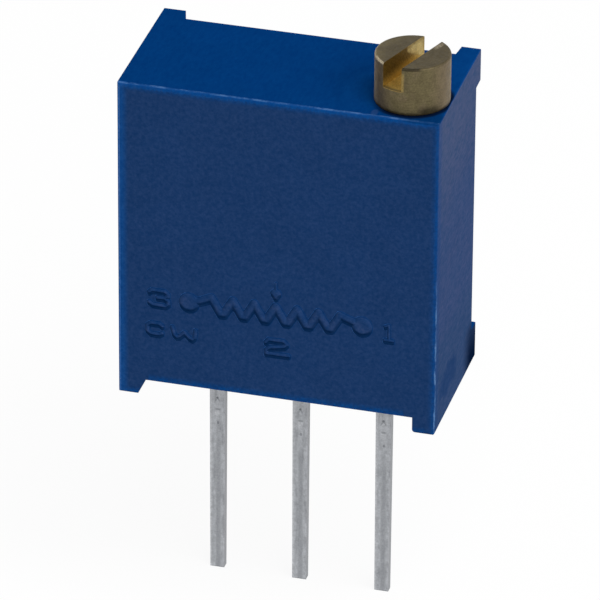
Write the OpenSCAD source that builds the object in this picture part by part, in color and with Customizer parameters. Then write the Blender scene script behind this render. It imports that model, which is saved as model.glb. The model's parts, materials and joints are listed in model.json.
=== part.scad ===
// Multi-turn trimmer potentiometer: square moulded housing, top-adjusted worm screw,
// three flat terminals in line. Millimetres, +Z up, +Y to the back, +X to the right.
// The origin is on the middle terminal, in the plane of the stand-off feet.

/* [Housing] */
// Width of the housing, side to side
body_w = 9.53; // [9.4:0.01:11.5]
// Height of the housing, without its stand-off feet
body_h = 9.67; // [9.6:0.01:11.8]
// Depth of the housing, front face to back rim, without its spacer nubs
body_d = 4.37; // [4.3:0.01:5.4]
// Thickness of the side, top and bottom walls round the substrate's recess
wall = 0.7; // [0.55:0.01:0.85]
// Thickness of the front wall
front_wall = 0.66; // [0.5:0.01:0.68]
// Radius of the housing's front edges, except along the feet's soles
edge_r = 0.12; // [0.05:0.01:0.2]
// Radius of the housing's other outer edges
ease_r = 0.05; // [0.03:0.01:0.1]

/* [Stand-off feet and spacer nubs] */
// Height of the feet under the housing
foot_h = 0.5; // [0.3:0.01:0.6]
// Width of the left foot's sole
foot_w_left = 0.6; // [0.4:0.01:0.9]
// Width that the left foot gains from its sole up to the housing
foot_slant = 0.23; // [0:0.01:0.4]
// Width of the right foot
foot_w_right = 0.66; // [0.4:0.01:0.9]
// How far the nubs stand out from the back rim
nub_d = 0.54; // [0.35:0.01:0.6]
// Width of the left nubs at their base
nub_w_left = 0.82; // [0.4:0.01:1]
// Width of the right nubs at their base
nub_w_right = 0.63; // [0.4:0.01:1]
// Height of the upper nubs at their base
nub_h_top = 1.01; // [0.6:0.01:1.3]
// Height of the lower nubs at their base, above the feet
nub_h_bottom = 0.64; // [0.5:0.01:1.3]
// How far the left nubs' inner sides lean in by their tips
nub_draft_left = 0.16; // [0:0.01:0.2]
// How far the right nubs' inner sides lean in by their tips
nub_draft_right = 0.06; // [0:0.01:0.2]
// How far the nubs' level sides lean in by their tips
nub_draft_level = 0.02; // [0:0.01:0.1]

/* [Terminals] */
// Distance between neighbouring terminals
terminal_pitch = 2.54; // [2.4:0.01:2.6]
// Distance of the terminals' mid-plane behind the front face
terminal_depth = 2.93; // [2.85:0.01:3.1]
// Width of a terminal in the housing
terminal_w = 0.48; // [0.4:0.01:0.6]
// Width of a terminal at its lower end
terminal_tip_w = 0.43; // [0.3:0.01:0.6]
// Thickness of a terminal
terminal_t = 0.25; // [0.2:0.01:0.32]
// Length of a terminal below the feet
terminal_l = 7.28; // [2.5:0.01:12]
// Height of a terminal's upper end above the bottom wall's inner face
terminal_lap = 1.2; // [0.9:0.01:1.25]

/* [Adjusting screw] */
// Distance of the screw's axis behind the front face
screw_depth = 1.35; // [1.3:0.01:1.45]
// Radius of the slotted head
head_r = 1.095; // [0.9:0.005:1.12]
// Height of the head's top above the housing
head_h = 1.487; // [1:0.001:1.8]
// Radius of the head's upper rim
head_edge_r = 0.06; // [0.05:0.01:0.15]
// Width of the driver slot
slot_w = 0.62; // [0.5:0.01:0.7]
// Depth of the driver slot
slot_depth = 0.75; // [0.5:0.01:0.9]
// Direction of the driver slot, from the X axis
slot_angle = 70.6; // [0:0.1:180]
// Radius of the shank, and of the worm's crest
shank_r = 0.74; // [0.65:0.001:0.9]
// Radius at the bottom of the shank's two grooves
groove_r = 0.46; // [0.42:0.01:0.5]

/* [Worm and gear] */
// Pitch of the worm's thread, and of the gear's teeth
worm_pitch = 0.6315; // [0.526:0.0001:0.66]
// Number of teeth on the gear
gear_teeth = 30; // [27:1:31]
// Height of the worm's thread above its pitch line, and of the gear's teeth
addendum = 0.13; // [0.1:0.01:0.14]
// Depth of the worm's thread below its pitch line, and of the gear's teeth
dedendum = 0.17; // [0.15:0.01:0.2]
// Play between thread and tooth at the pitch line, both flanks together
backlash = 0.09; // [0.06:0.01:0.12]
// Angle of the flanks
flank_angle = 20; // [15:1:25]
// Length of the threaded stretch
worm_l = 3.1; // [2.4:0.1:3.4]
// Width of the gear's teeth, front to back
gear_face = 1.1; // [0.8:0.01:1.2]
// Distance of the gear's axis below the housing's top
gear_drop = 4.83; // [4.7:0.01:5]
// Radius of the post that the gear turns on
post_r = 0.6; // [0.5:0.01:0.7]

/* [Element and wiper] */
// Thickness of the ceramic substrate
substrate_t = 0.635; // [0.5:0.005:0.8]
// Thickness of the printed films
film_t = 0.03; // [0.02:0.01:0.05]
// Distance of the resistive track's middle radius inside the gear's tooth roots
track_inset = 0.595; // [0.55:0.005:0.75]
// Width of the resistive track
track_w = 0.5; // [0.4:0.01:0.6]
// Angle from the track's middle to each end
track_half_angle = 150; // [140:1:152]
// Middle radius of the collector ring
collector_r = 0.72; // [0.65:0.01:0.8]
// Width of the collector ring
collector_w = 0.54; // [0.4:0.01:0.6]
// Height of the wiper spring between gear and film
wiper_h = 0.5; // [0.4:0.01:0.55]
// Thickness of the wiper's sheet metal
wiper_t = 0.07; // [0.05:0.01:0.09]
// Width of one wiper finger
finger_w = 0.13; // [0.1:0.01:0.16]
// Depth of the back seal's face inside the rim
seal_recess = 0.25; // [0.1:0.01:0.4]

/* [Clearances] */
// Radial clearance of what turns: shank, journal and gear bore
run_gap = 0.04; // [0.02:0.01:0.06]
// Gap between the turning gear or screw and the walls round it
swing_gap = 0.1; // [0.06:0.01:0.14]
// Gap between the wiper's contacts and the films, and under the screw's head
contact_gap = 0.02; // [0.01:0.01:0.04]
// Fitting gap of the substrate, the terminals and the retaining pin
seat_gap = 0.03; // [0.01:0.01:0.05]

/* [Hidden] */
$fn = 64;
eps = 0.01;

// Housing planes
front_y = -terminal_depth;
rim_y = front_y + body_d;
body_top = foot_h + body_h;
floor_z = foot_h + wall;
full_d = body_d + nub_d;

// Terminals lie on the printed pads of the substrate's front face
terminal_front_y = -terminal_t / 2;
terminal_back_y = terminal_t / 2;
terminal_top = floor_z + terminal_lap;
substrate_y = terminal_back_y + film_t;
substrate_back_y = substrate_y + substrate_t;
seal_back_y = rim_y - seal_recess;

// Worm and gear: the gear turns on the housing's middle, and the screw stands beside it
worm_pitch_r = shank_r - addendum;
worm_core_r = worm_pitch_r - dedendum;
gear_pitch_r = gear_teeth * worm_pitch / (2 * PI);
gear_tip_r = gear_pitch_r + addendum;
gear_root_r = gear_pitch_r - dedendum;
gear_z = body_top - gear_drop;
screw_x = gear_pitch_r + worm_pitch_r;
screw_y = front_y + screw_depth;
bore_r = shank_r + run_gap;
lead_angle = atan(worm_pitch / (2 * PI * worm_pitch_r));
tooth_t = worm_pitch / 2 - backlash / 2;
collar_l = 0.42;
seal_ring_r = (bore_r - contact_gap - groove_r) / 2;
seal_groove_h = 2 * seal_ring_r + swing_gap;
pin_groove_h = 0.46;
groove_land = 0.3;
land_margin = 0.15;
land_l = worm_pitch + land_margin;
journal_l = 0.7;

// Gear
gear_front_y = screw_y - gear_face / 2;
gear_back_y = screw_y + gear_face / 2;
chamber_r = gear_tip_r + swing_gap;
chamber_y = front_y + front_wall;
wiper_seat_y = substrate_y - film_t - wiper_h;
disc_step = 0.04;
disc_r = gear_root_r - disc_step;
hub_r = 1.1;
rim_w = 0.5;
gear_web = 0.3;
post_l = wiper_seat_y - gear_web - seat_gap - chamber_y;

// Screw heights that hang from the housing's top or stand on the gear's axis
seal_groove_z = body_top - collar_l - seal_groove_h;
pin_groove_z = seal_groove_z - groove_land - pin_groove_h;
worm_top = gear_z + worm_l / 2;
worm_bottom = gear_z - worm_l / 2;
journal_z = worm_bottom - land_l - journal_l;

// Solder pads and joints, round each terminal's upper end
pad_margin = 0.2;
pad_half = terminal_w / 2 + pad_margin;
pad_bottom = floor_z + pad_margin;
pad_top = terminal_top + pad_margin;
solder_r = 0.5;
solder_cover = 0.08;
solder_h = terminal_t + solder_cover;
solder_z = terminal_top + pad_margin / 2 - solder_r;
solder_front_y = terminal_back_y - solder_h;
pocket_gap = 0.05;

// Retaining pin: a wire that lies in the shank's lower groove
wire_r = (pin_groove_h - 2 * seat_gap) / 2;
wire_x = screw_x - groove_r - run_gap - wire_r;
wire_z = pin_groove_z + pin_groove_h / 2;
wire_overhang = 0.6;
wire_front_y = screw_y - wire_overhang;

// Wiper comb, in the gear's plane: radii of the fingers, and lengths along them
track_r = gear_root_r - track_inset;
finger_gap = 0.05;
finger_step = finger_w + finger_gap;
outer_fingers = [for (i = [-1:1]) track_r + i * finger_step];
inner_fingers = [for (i = [0:1]) collector_r + (i - 0.5) * finger_step];
finger_l = 0.95;
comb_w = 0.6;
comb_end = 0.15;
stake_r = 0.16;
stake_head = 0.06;
stake_middle = (inner_fingers[1] + outer_fingers[0]) / 2;
stake_reach = 0.3;
stake_radii = [stake_middle - stake_reach, stake_middle + stake_reach];

// ---- Shared outlines ----

// A rectangle with a radius for each corner: low left, low right, high right, high left
module rounded_rect(low, high, radii) {
    corners = [low, [high.x, low.y], high, [low.x, high.y]];
    inward = [[1, 1], [-1, 1], [-1, -1], [1, -1]];
    difference() {
        translate(low) square(high - low);
        for (i = [0:3]) corner_cut(corners[i], inward[i], radii[i]);
    }
}

// What a round corner leaves out. The direction inward is 1 or -1 along X and along Y.
module corner_cut(corner, inward, r) {
    start = [for (i = [0:1]) corner[i] - (inward[i] > 0 ? eps : r)];
    difference() {
        translate(start) square(r + eps);
        translate(corner + r * inward) circle(r);
    }
}

// Extrudes an outline drawn in X and Z over the Y stretch from y0 to y1
module along_y(y0, y1) {
    translate([0, y1, 0]) rotate([90, 0, 0]) linear_extrude(y1 - y0) children();
}

// Extrudes an outline drawn in Y and Z over the X stretch from x0 to x1
module along_x(x0, x1) {
    translate([x0, 0, 0]) rotate([90, 0, 90]) linear_extrude(x1 - x0) children();
}

module block(low, high) {
    translate(low) cube(high - low);
}

// A point at a radius and at an angle from straight up, in the gear's plane
function polar(r, a) = [r * sin(a), gear_z + r * cos(a)];

module at_gear() {
    translate([0, 0, gear_z]) children();
}

// A cylinder on the gear's axis, from plane y0 to plane y1
module gear_disc(r, y0, y1) {
    at_gear() translate([0, y1, 0]) rotate([90, 0, 0]) cylinder(r = r, h = y1 - y0);
}

// ---- Housing ----

// The open space between the feet, with the right foot's round inner corner
module foot_gap() {
    left = -body_w / 2 + foot_w_left;
    right = body_w / 2 - foot_w_right;
    polygon([
        [left - foot_slant * eps / foot_h, -eps], [left + foot_slant, foot_h],
        [right, foot_h], [right, -eps]
    ]);
    corner_cut([right, 0], [1, 1], edge_r);
}

// The outside as one block: rounded seen from the front, from above and from the side
module outer_block() {
    half = body_w / 2;
    back = front_y + full_d;
    intersection() {
        along_y(front_y, back) difference() {
            rounded_rect([-half, 0], [half, body_top], [ease_r, ease_r, ease_r, ease_r]);
            foot_gap();
        }
        linear_extrude(body_top)
            rounded_rect([-half, front_y], [half, back], [edge_r, edge_r, ease_r, ease_r]);
        along_x(-half, half)
            rounded_rect([front_y, 0], [back, body_top], [ease_r, ease_r, ease_r, edge_r]);
    }
}

// What is cut away behind the rim, so that only the four corner nubs stand
module between_nubs() {
    half = body_w / 2;
    left = -half + nub_w_left;
    right = half - nub_w_right;
    low = foot_h + nub_h_bottom;
    high = body_top - nub_h_top;
    back = rim_y + nub_d + eps;
    translate([0, 0, -eps]) linear_extrude(body_top + 2 * eps) polygon([
        [left, rim_y], [right, rim_y],
        [right + nub_draft_right, back], [left - nub_draft_left, back]
    ]);
    along_x(-half - eps, half + eps) polygon([
        [rim_y, low], [rim_y, high], [back, high + nub_draft_level], [back, low - nub_draft_level]
    ]);
}

// The screw's bore, its blind journal bore and the hole of the retaining pin
module screw_bores() {
    bore_bottom = worm_bottom - land_l - swing_gap;
    translate([screw_x, screw_y, bore_bottom])
        cylinder(r = bore_r, h = body_top - bore_bottom + eps);
    translate([screw_x, screw_y, journal_z - swing_gap])
        cylinder(r = worm_core_r + run_gap, h = bore_bottom - journal_z + swing_gap + eps);
    translate([wire_x, substrate_y + eps, wire_z]) rotate([90, 0, 0])
        cylinder(r = wire_r + seat_gap / 2, h = substrate_y - wire_front_y + 2 * eps);
}

// The recess that holds the substrate and the back seal, with a shallow relief in its
// ledge that clears the printed conductors
module substrate_recess() {
    half = body_w / 2 - wall;
    relief_half = terminal_pitch + pad_half + swing_gap;
    block([-half, substrate_y, floor_z], [half, rim_y + nub_d, body_top - wall]);
    block([-relief_half, substrate_y - film_t - contact_gap, floor_z],
          [relief_half, substrate_y + eps, gear_z]);
}

// For each terminal, a slot through the bottom wall and a pocket for its solder
module terminal_slots() {
    slot_half = terminal_w / 2 + seat_gap;
    pocket_half = solder_r + pocket_gap;
    for (i = [-1:1]) translate([i * terminal_pitch, 0, 0]) {
        block([-slot_half, terminal_front_y - seat_gap, 0],
              [slot_half, rim_y + nub_d, floor_z + eps]);
        block([-pocket_half, solder_front_y - pocket_gap, floor_z],
              [pocket_half, substrate_y + eps, solder_z + pocket_half]);
    }
}

module housing() {
    color([0.05, 0.22, 0.48]) {
        difference() {
            outer_block();
            between_nubs();
            gear_disc(chamber_r, chamber_y, substrate_y + eps);
            screw_bores();
            substrate_recess();
            terminal_slots();
        }
        gear_disc(post_r, chamber_y - eps, chamber_y + post_l);
    }
}

// ---- Adjusting screw ----

// Half width of a thread or tooth at a distance outside its pitch line
function flank_half(d) = tooth_t / 2 - d * tan(flank_angle);

// The worm: a core with one straight-flanked ridge round it, swept along the helix.
// Each section holds the ridge's two roots and two crests, and the core's strip runs
// on to the next turn. The ridge sinks into the core over the last half turn at each
// end, and the core ends inside the full-width lands.
module worm() {
    steps = 24;
    root_half = flank_half(-dedendum);
    crest_half = flank_half(addendum);
    reach = worm_l / 2 - root_half;
    n = 2 * ceil(steps * (reach + worm_pitch + seat_gap) / worm_pitch);
    top = gear_z + worm_pitch * (n / 2 / steps - 0.5);
    bottom = gear_z - worm_pitch * (n / 2 / steps - 0.5);
    points = concat([for (k = [0:n]) let (
            turns = (k - n / 2) / steps,
            z = gear_z + worm_pitch * turns,
            rise = max(0, min(1, 2 * (reach / worm_pitch - abs(turns)))),
            crest = worm_core_r + (shank_r - worm_core_r) * rise,
            half = root_half + (crest_half - root_half) * rise
        ) each [
            for (p = [[worm_core_r, -root_half], [crest, -half], [crest, half], [worm_core_r, root_half]])
                [p[0] * cos(360 * turns), p[0] * sin(360 * turns), z + p[1]]
        ]], [[0, 0, bottom], [0, 0, top]]);
    low = 4 * (n + 1);
    high = low + 1;
    ridge = [for (k = [0:n - 1], j = [0:2]) each quad(4 * k + j, 4 * k + j + 1, 4)];
    core = [for (k = [0:n - 1 - steps]) each quad(4 * k + 3, 4 * (k + steps), 4)];
    bottom_rim = concat([for (k = [0:steps]) 4 * k], [3, 2, 1, 0]);
    top_rim = concat([for (k = [n:-1:n - steps]) 4 * k + 3], [for (j = [0:3]) 4 * n + j]);
    caps = concat(
        [for (i = [1:len(bottom_rim) - 1]) [low, bottom_rim[i - 1], bottom_rim[i]]],
        [for (i = [1:len(top_rim) - 1]) [high, top_rim[i - 1], top_rim[i]]]
    );
    translate([screw_x, screw_y, 0]) polyhedron(points, concat(ridge, core, caps));
}

// Two triangles between points a and b and the points that follow each by step
function quad(a, b, step) = [[a, b, b + step], [a, b + step, a + step]];

// Outline of the turned screw, from its axis outwards, in radius and height
module screw_profile() {
    under_head = body_top + contact_gap;
    head_top = body_top + head_h;
    difference() {
        translate([0, under_head]) square([head_r, head_top - under_head]);
        corner_cut([head_r, head_top], [-1, -1], head_edge_r);
    }
    difference() {
        translate([0, worm_top]) square([shank_r, under_head + eps - worm_top]);
        translate([groove_r, seal_groove_z]) square([shank_r, seal_groove_h]);
        translate([groove_r, pin_groove_z]) square([shank_r, pin_groove_h]);
    }
}

module adjusting_screw() {
    head_top = body_top + head_h;
    color([0.48, 0.42, 0.28]) difference() {
        union() {
            translate([screw_x, screw_y, 0]) rotate_extrude() screw_profile();
            worm();
            translate([screw_x, screw_y, worm_bottom - land_l]) cylinder(r = shank_r, h = land_l);
            translate([screw_x, screw_y, journal_z])
                cylinder(r = worm_core_r, h = worm_bottom - land_l - journal_z + eps);
        }
        translate([screw_x, screw_y, head_top - slot_depth]) rotate([0, 0, slot_angle])
            translate([-2 * head_r, -slot_w / 2, 0]) cube([4 * head_r, slot_w, 2 * slot_depth]);
    }
}

module screw_seal_ring() {
    color([0.12, 0.12, 0.12])
        translate([screw_x, screw_y, seal_groove_z + seal_groove_h / 2])
            rotate_extrude() translate([groove_r + seal_ring_r, 0]) circle(seal_ring_r);
}

module screw_retaining_pin() {
    color([0.7, 0.71, 0.73])
        translate([wire_x, substrate_y - seat_gap, wire_z]) rotate([90, 0, 0])
            cylinder(r = wire_r, h = substrate_y - wire_front_y - 2 * seat_gap);
}

// ---- Gear and wiper ----

// One straight tooth along +X, leaning with the worm's thread
module gear_tooth() {
    margin = 0.1;
    inner = gear_root_r - margin;
    outer = gear_tip_r + margin;
    half_l = gear_face / 2 / cos(lead_angle) + margin;
    rotate([90 - lead_angle, 0, 0]) linear_extrude(2 * half_l, center = true) polygon([
        [inner, -flank_half(inner - gear_pitch_r)], [outer, -flank_half(outer - gear_pitch_r)],
        [outer, flank_half(outer - gear_pitch_r)], [inner, flank_half(inner - gear_pitch_r)]
    ]);
}

module toothed_rim() {
    intersection() {
        union() {
            gear_disc(gear_root_r, gear_front_y, gear_back_y);
            for (i = [0:gear_teeth - 1])
                at_gear() translate([0, screw_y, 0]) rotate([0, i * 360 / gear_teeth, 0]) gear_tooth();
        }
        gear_disc(gear_tip_r, gear_front_y, gear_back_y);
    }
}

module wiper_gear() {
    thrust_y = chamber_y + contact_gap;
    color([0.88, 0.87, 0.82]) {
        difference() {
            union() {
                toothed_rim();
                gear_disc(disc_r, gear_back_y - eps, wiper_seat_y);
                gear_disc(hub_r, thrust_y, gear_front_y + eps);
            }
            gear_disc(post_r + run_gap, thrust_y - eps, wiper_seat_y - gear_web);
            difference() {
                gear_disc(gear_root_r - rim_w, gear_front_y - eps, gear_back_y - gear_web);
                gear_disc(hub_r, gear_front_y - 2 * eps, gear_back_y);
            }
        }
        for (r = stake_radii) at_gear() translate([-finger_l - comb_w / 2, 0, r]) {
            translate([0, wiper_seat_y + wiper_t + stake_head, 0]) rotate([90, 0, 0])
                cylinder(r = stake_r + stake_head, h = stake_head);
            translate([0, wiper_seat_y + wiper_t + eps, 0]) rotate([90, 0, 0])
                cylinder(r = stake_r, h = wiper_t + 2 * eps);
        }
    }
}

// Side view of a finger: flat on the gear, up a slope, and over a round contact.
// X runs along the finger and Y stands away from the gear.
module finger_profile() {
    knuckle_r = 0.16;
    top = wiper_h - contact_gap;
    contact = [for (a = [-60:15:60])
        [knuckle_r * sin(a), top - knuckle_r * (1 - cos(a))]];
    root = 0.05;
    upper = concat([[-finger_l - root, wiper_t], [-finger_l + root, wiper_t]], contact);
    lower = [for (i = [len(upper) - 1:-1:0]) upper[i] - [0, wiper_t]];
    polygon(concat(upper, lower));
}

module wiper_spring() {
    color([0.83, 0.68, 0.33]) at_gear() translate([0, wiper_seat_y, 0]) {
        difference() {
            intersection() {
                block([-finger_l - comb_w, 0, inner_fingers[0] - comb_end],
                      [-finger_l, wiper_t, outer_fingers[2] + comb_end]);
                translate([0, wiper_t + eps, 0]) rotate([90, 0, 0])
                    cylinder(r = disc_r - 0.05, h = wiper_t + 2 * eps);
            }
            for (r = stake_radii) translate([-finger_l - comb_w / 2, wiper_t + eps, r])
                rotate([90, 0, 0]) cylinder(r = stake_r + contact_gap, h = wiper_t + 2 * eps);
        }
        for (r = concat(inner_fingers, outer_fingers))
            translate([0, 0, r - finger_w / 2]) linear_extrude(finger_w) finger_profile();
    }
}

// ---- Element ----

module film() {
    along_y(substrate_y - film_t, substrate_y) children();
}

// Part of the track's ring, between two angles from straight up
module ring_sector(r, w, a0, a1) {
    steps = max(1, ceil((a1 - a0) / 60));
    intersection() {
        translate([0, gear_z]) difference() {
            circle(r + w / 2);
            circle(r - w / 2);
        }
        polygon(concat([[0, gear_z]],
            [for (i = [0:steps]) polar(3 * r, a0 + (a1 - a0) * i / steps)]));
    }
}

module terminal_pad(x) {
    translate([x - pad_half, pad_bottom]) square([2 * pad_half, pad_top - pad_bottom]);
}

module ceramic_substrate() {
    half = body_w / 2 - wall - seat_gap;
    color([0.93, 0.92, 0.88])
        block([-half, substrate_y, floor_z + seat_gap],
              [half, substrate_back_y, body_top - wall - seat_gap]);
}

module resistive_track() {
    color([0.16, 0.15, 0.15]) film()
        ring_sector(track_r, track_w, -track_half_angle, track_half_angle);
}

module collector() {
    trace_half = 0.25;
    color([0.75, 0.75, 0.72]) film() {
        translate([0, gear_z]) difference() {
            circle(collector_r + collector_w / 2);
            circle(collector_r - collector_w / 2);
        }
        translate([-trace_half, pad_top - eps])
            square([2 * trace_half, gear_z - collector_r - pad_top]);
        terminal_pad(0);
    }
}

// The conductor from the track's right end to the right-hand terminal's pad
module end_conductor() {
    end_w = 10;
    outer_margin = 0.1;
    outer_r = track_r + track_w / 2 - outer_margin;
    color([0.75, 0.75, 0.72]) film() {
        ring_sector(track_r, track_w, track_half_angle, track_half_angle + end_w);
        polygon([
            [terminal_pitch - pad_half, pad_top - eps], [terminal_pitch + pad_half, pad_top - eps],
            polar(outer_r, track_half_angle), polar(outer_r, track_half_angle + end_w)
        ]);
        terminal_pad(terminal_pitch);
    }
}

module end_pad_left() {
    mirror([1, 0, 0]) end_conductor();
}

module end_pad_right() {
    end_conductor();
}

// ---- Terminals, solder and seal ----

// Flat strip: parallel in the housing, and narrowing from the feet's soles to its lower end
module terminal(i) {
    half = terminal_w / 2;
    tip = terminal_tip_w / 2;
    color([0.72, 0.73, 0.75]) translate([i * terminal_pitch, 0, 0])
        along_y(terminal_front_y, terminal_back_y) polygon([
            [-tip, -terminal_l], [tip, -terminal_l], [half, 0],
            [half, terminal_top], [-half, terminal_top], [-half, 0]
        ]);
}

// A mound of solder that stands on the pad and covers the terminal's upper end
module solder_joint(i) {
    x = i * terminal_pitch;
    color([0.66, 0.67, 0.69]) difference() {
        translate([x, terminal_back_y, solder_z]) rotate([90, 0, 0]) hull()
            for (a = [0:22.5:67.5])
                cylinder(r = solder_r * cos(a), h = max(eps, solder_h * sin(a)), $fn = 32);
        block([x - terminal_w / 2, terminal_front_y, solder_z - 2 * solder_r],
              [x + terminal_w / 2, terminal_back_y + eps, terminal_top]);
    }
}

module back_seal() {
    half = body_w / 2 - wall;
    slot_half = terminal_w / 2 + seat_gap;
    color([0.08, 0.14, 0.26]) {
        block([-half, substrate_back_y, floor_z], [half, seal_back_y, body_top - wall]);
        for (i = [-1:1])
            block([i * terminal_pitch - slot_half, terminal_back_y, foot_h + seat_gap],
                  [i * terminal_pitch + slot_half, seal_back_y, floor_z]);
    }
}

housing();
adjusting_screw();
screw_seal_ring();
screw_retaining_pin();
wiper_gear();
wiper_spring();
ceramic_substrate();
resistive_track();
collector();
end_pad_left();
end_pad_right();
terminal(-1);  // terminal_3
terminal(0);  // terminal_2
terminal(1);  // terminal_1
solder_joint(-1);  // solder_joint_3
solder_joint(0);  // solder_joint_2
solder_joint(1);  // solder_joint_1
back_seal();
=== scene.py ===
import json
import math
from types import SimpleNamespace

import bpy
import numpy as np
from mathutils import Matrix, Vector


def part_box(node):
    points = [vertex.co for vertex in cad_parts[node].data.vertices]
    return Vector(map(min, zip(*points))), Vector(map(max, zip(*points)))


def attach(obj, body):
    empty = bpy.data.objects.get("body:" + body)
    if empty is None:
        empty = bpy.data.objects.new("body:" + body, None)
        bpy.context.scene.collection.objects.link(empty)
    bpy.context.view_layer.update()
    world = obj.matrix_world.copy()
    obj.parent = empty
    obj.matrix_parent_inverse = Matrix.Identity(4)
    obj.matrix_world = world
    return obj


bl_info = {
    "name": "Trimmer potentiometer looks",
    "version": (1, 0, 0),
    "blender": (4, 5, 0),
    "location": "3D View > Sidebar > Trimmer",
    "description": "Finishes, raised marks and studio for a trimmer potentiometer",
    "category": "Object",
}

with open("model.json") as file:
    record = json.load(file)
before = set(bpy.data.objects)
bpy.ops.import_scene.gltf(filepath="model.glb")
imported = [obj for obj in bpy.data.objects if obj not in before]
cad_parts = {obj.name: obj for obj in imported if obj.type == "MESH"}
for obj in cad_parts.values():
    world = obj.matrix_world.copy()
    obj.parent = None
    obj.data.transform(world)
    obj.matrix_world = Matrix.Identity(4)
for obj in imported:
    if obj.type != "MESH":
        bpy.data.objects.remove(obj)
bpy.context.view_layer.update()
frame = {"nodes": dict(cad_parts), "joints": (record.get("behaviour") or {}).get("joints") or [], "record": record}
MM = 0.001
WHITE = (1.0, 1.0, 1.0)
HOUSING_LOW, HOUSING_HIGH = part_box("housing")
TERMINAL_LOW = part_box("terminal_2")[0]
# Places for the finishes, in millimetres
FRONT_Y = HOUSING_LOW.y / MM
RIM_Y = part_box("back_seal")[1].y / MM
SEAT_Z = HOUSING_HIGH.z / MM
HEAD_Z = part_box("adjusting_screw")[1].z / MM
SCREW = next(Vector(j["pos_m"]) for j in frame["joints"] if j["name"] == "screw_turn") / MM
HEAD_R = next(
    m["dims"]["r_mm"] for m in frame["record"]["mounts"] if m["name"] == "adjusting_head"
)
# How far the smaller pieces' roughness runs to either side of its middle
ROUGH_SPREAD = 0.08
# Most of a noise's values lie in this range
NOISE_RANGE = (0.25, 0.75)
# Where a Mix node keeps its colours among its sockets
MIX_COLORS = slice(6, 8)
MIX_RESULT = 2


def color_property(name, text, value):
    return bpy.props.FloatVectorProperty(
        name=name, description=text, default=value, size=3, min=0.0, max=1.0, subtype="COLOR"
    )


def number_property(name, text, value, **kind):
    return bpy.props.FloatProperty(name=name, description=text, default=value, **kind)


def length_property(name, text, value):
    return number_property(name, text, value, unit="LENGTH", subtype="DISTANCE")


def share_property(name, text, value):
    return number_property(name, text, value, min=0.0, max=1.0, subtype="FACTOR")


def angle_property(name, text, degrees):
    return number_property(name, text, math.radians(degrees), unit="ROTATION", subtype="ANGLE")


class HousingSettings(bpy.types.PropertyGroup):
    # The front's greyer tone than the top's is partly a painted sheen over the blue
    front_color: color_property(
        "Front colour", "Grained blue of the front, back and feet", (0.0178, 0.0594, 0.188)
    )
    top_color: color_property("Top colour", "Deeper, smoother blue of the top", (0.001, 0.0415, 0.185))
    # The three side colours are a painted sheen, palest near the top and weakest near the foot
    side_sheen_color: color_property("Side colour", "Dustier blue of the two sides", (0.058, 0.1, 0.244))
    upper_sheen_color: color_property(
        "Upper side colour", "Palest dust, near the top of the sides", (0.086, 0.1245, 0.255)
    )
    lower_sheen_color: color_property(
        "Lower side colour", "Cleaner blue near the foot of the sides", (0.047, 0.092, 0.2225)
    )
    band_color: color_property(
        "Band colour", "Clear blue beside the edges of the front", (0.003, 0.074, 0.3)
    )
    edge_color: color_property("Edge colour", "Clear blue of the rounded edges", (0.003, 0.058, 0.235))
    # Painted highlight on the rounded edge at the left
    left_highlight_color: color_property(
        "Left edge colour", "Paler blue of the rounded edge at the left", (0.06, 0.21, 0.62)
    )
    # Painted glint lines along the front's upper and right edges
    edge_glint_color: color_property(
        "Wear colour", "Thin broken line where the sharpest edges are rubbed", (0.12, 0.26, 0.53)
    )
    # Painted shade and shadow on and under the marks, and painted shade in the top's corner by the screw
    shade_color: color_property("Shade colour", "Deep blue under the marks", (0.001, 0.027, 0.108))
    # Painted shade in the lower rear corners of the sides
    corner_shade_color: color_property(
        "Corner colour", "Dark blue in the lower rear corners of the sides", (0.001, 0.008, 0.036)
    )
    # Painted contact shadow round the screw's head
    shadow_and_soil_color: color_property(
        "Soil colour", "Nearly black soil round the screw", (0.002, 0.005, 0.018)
    )
    band_width: length_property("Band width", "Width of the clear band beside an edge", 0.2 * MM)
    foot_height: length_property("Foot height", "Height of the stand-off feet", 0.5 * MM)
    # Width of the painted contact shadow round the head
    shadow_ring_width: length_property("Ring width", "Width of the soiled ring round the head", 0.2 * MM)
    grain_depth: length_property("Grain depth", "Depth of the moulded grain", 0.003 * MM)


class MarkSettings(bpy.types.PropertyGroup):
    height: length_property("Height", "How far the marks stand out from the front", 0.055 * MM)
    flank: length_property("Flank", "Width of a mark's rounded side", 0.14 * MM)
    step: length_property("Step", "Spacing of the mesh that forms a mark", 0.018 * MM)
    figure_stroke: length_property("Figure stroke", "Half width of the figures' strokes", 0.085 * MM)
    wave_stroke: length_property("Wave stroke", "Half width of the resistor's line", 0.145 * MM)
    skirt: length_property("Skirt", "How far the soft skirt reaches below a mark", 0.065 * MM)
    skirt_height: length_property("Skirt height", "How far the skirt stands out", 0.014 * MM)
    dot_radius: length_property("Dot radius", "Radius of the resistor's two end dots", 0.32 * MM)


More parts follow.
